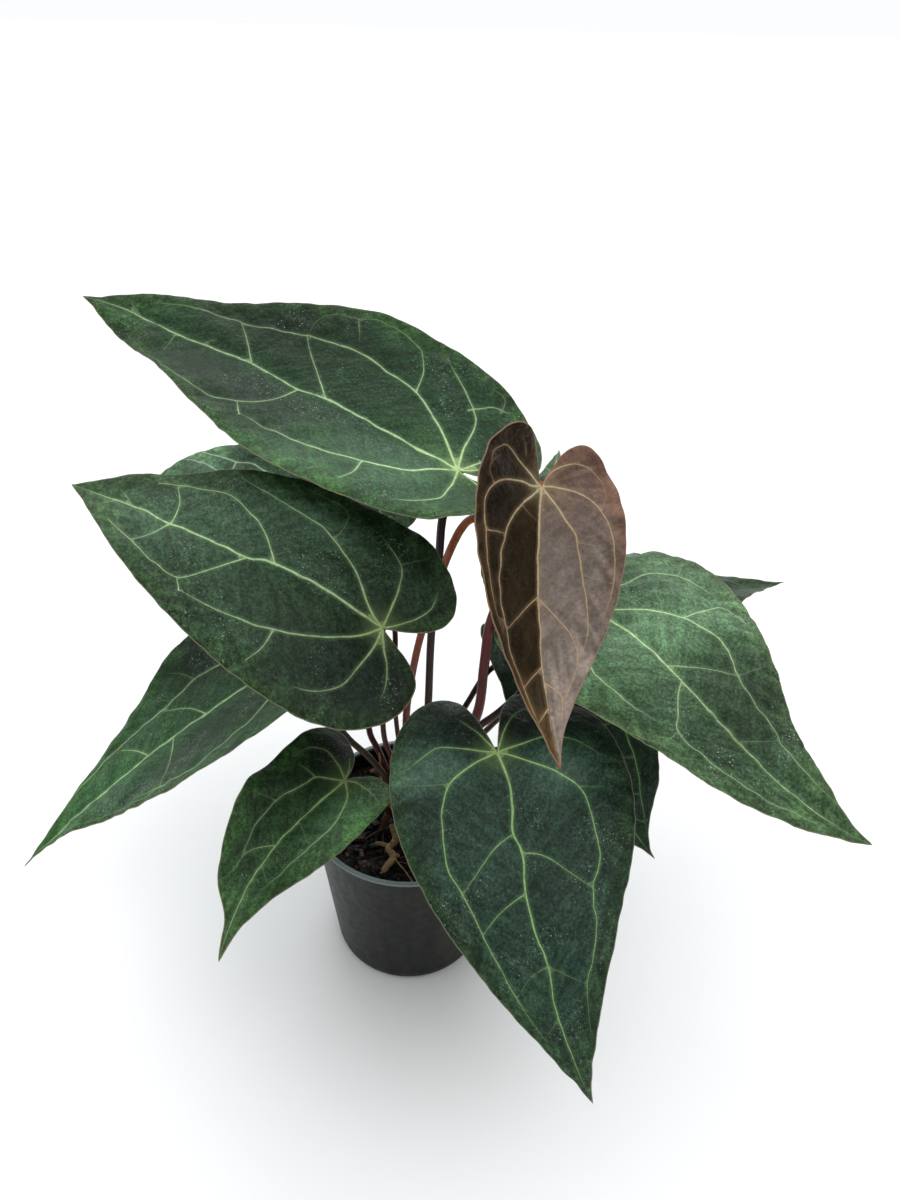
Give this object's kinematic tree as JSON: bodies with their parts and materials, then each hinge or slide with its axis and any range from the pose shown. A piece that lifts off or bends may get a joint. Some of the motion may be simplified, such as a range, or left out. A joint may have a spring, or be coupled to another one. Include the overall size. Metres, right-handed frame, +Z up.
{
  "type": "potted anthurium hybrid",
  "caption": "Velvet-leaved anthurium hybrid with long heart-shaped, pale-veined leaves on slender stalks, growing in bark mix in a small dark round nursery pot.",
  "frame": {"origin": "centre of the pot's flat underside", "axes": "+Z up; -Y is the front, the side the picture looks from, and +X is its right"},
  "size_m": [0.4105, 0.2976, 0.3124],
  "materials": {
    "pot_plastic": "slightly glossy dark grey-green plastic",
    "bark_mix": "rough dark bark and peat",
    "crown_stem": "dry papery sheaths round a green-brown stem",
    "leaf_green": "velvety dark green blade with pale green veins",
    "leaf_bronze": "velvety bronze young blade with cream veins",
    "petiole": "smooth satin, dark purple-brown to orange-brown"
  },
  "bodies": {
    "root": {"pot": "pot_plastic", "potting_mix": "bark_mix", "crown": "crown_stem", "leaf_top": "leaf_green", "petiole_top": "petiole", "leaf_left": "leaf_green", "petiole_left": "petiole", "leaf_bronze": "leaf_bronze", "petiole_bronze": "petiole", "leaf_right": "leaf_green", "petiole_right": "petiole", "leaf_front": "leaf_green", "petiole_front": "petiole", "leaf_small": "leaf_green", "petiole_small": "petiole", "leaf_lower_left": "leaf_green", "petiole_lower_left": "petiole", "leaf_rear_left": "leaf_green", "petiole_rear_left": "petiole", "leaf_lower_right": "leaf_green", "petiole_lower_right": "petiole", "leaf_rear_right": "leaf_green", "petiole_rear_right": "petiole", "leaf_rear": "leaf_green", "petiole_rear": "petiole", "leaf_rear_inner": "leaf_green", "petiole_rear_inner": "petiole"}
  },
  "joints": []
}
